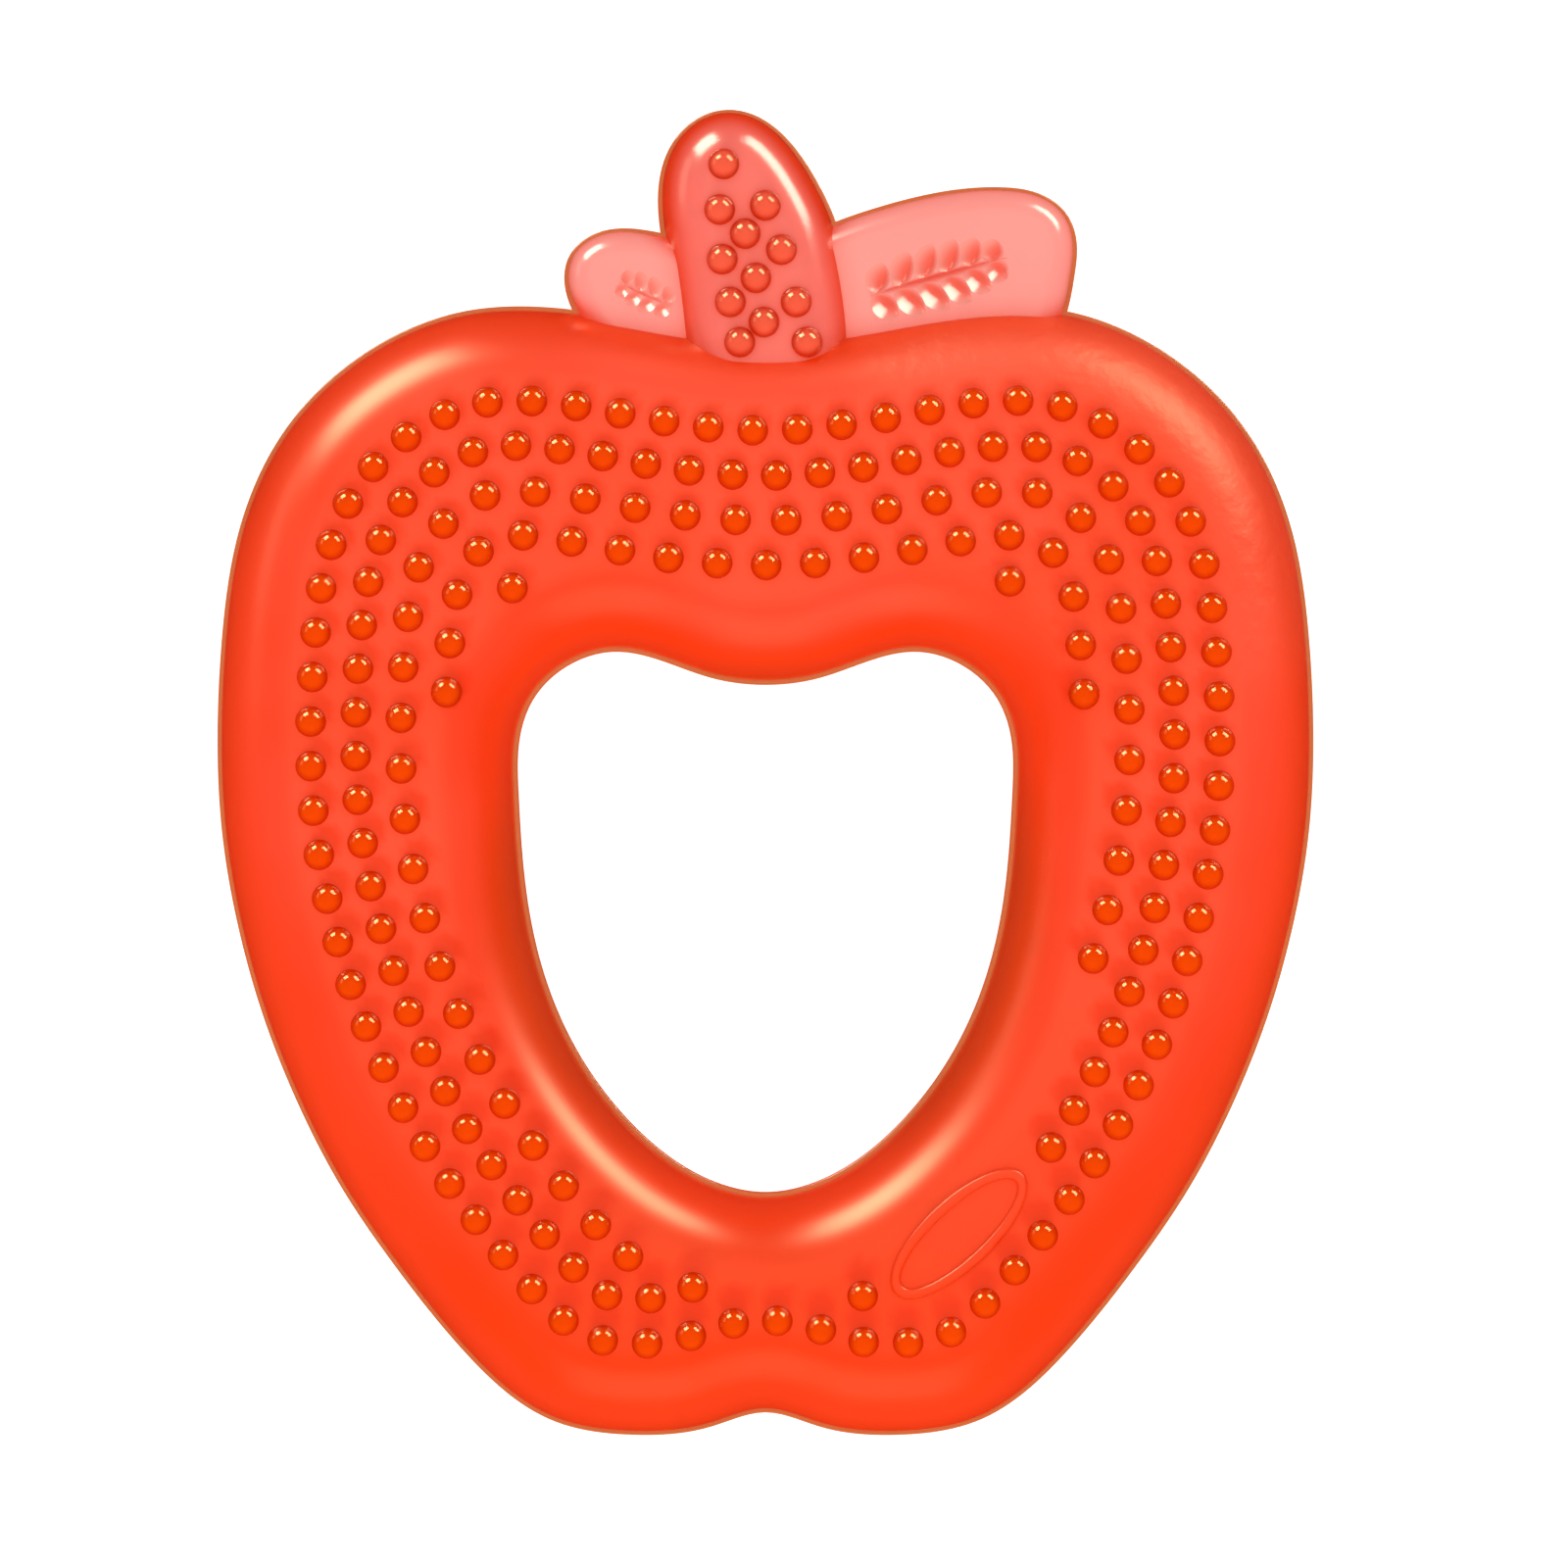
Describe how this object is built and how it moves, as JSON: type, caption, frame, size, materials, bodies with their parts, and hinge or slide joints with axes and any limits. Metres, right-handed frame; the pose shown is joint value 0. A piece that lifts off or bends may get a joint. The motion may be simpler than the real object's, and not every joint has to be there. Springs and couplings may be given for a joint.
{
  "type": "teething ring",
  "caption": "Apple-shaped teething ring: a soft translucent hollow ring filled with water, with a stem, leaves and rows of small chewing nubs, chilled in a fridge before use.",
  "frame": {"origin": "middle of the outline's bounding box, at the height of the surface the ring lies on, which the tips of the back nubs touch", "axes": "+X to the right as seen from the front, +Y towards the stem, +Z out of the front face"},
  "size_m": [0.0827, 0.1, 0.0158],
  "materials": {
    "soft_body": "smooth glossy translucent soft EVA, red, lighter where it is thin",
    "water": "clear sealed water, tinted by the red body round it",
    "plug": "smooth glossy soft plastic, red"
  },
  "bodies": {
    "root": {"front_shell": "soft_body", "back_shell": "soft_body", "cooling_water": "water", "fill_plug": "plug"}
  },
  "joints": []
}
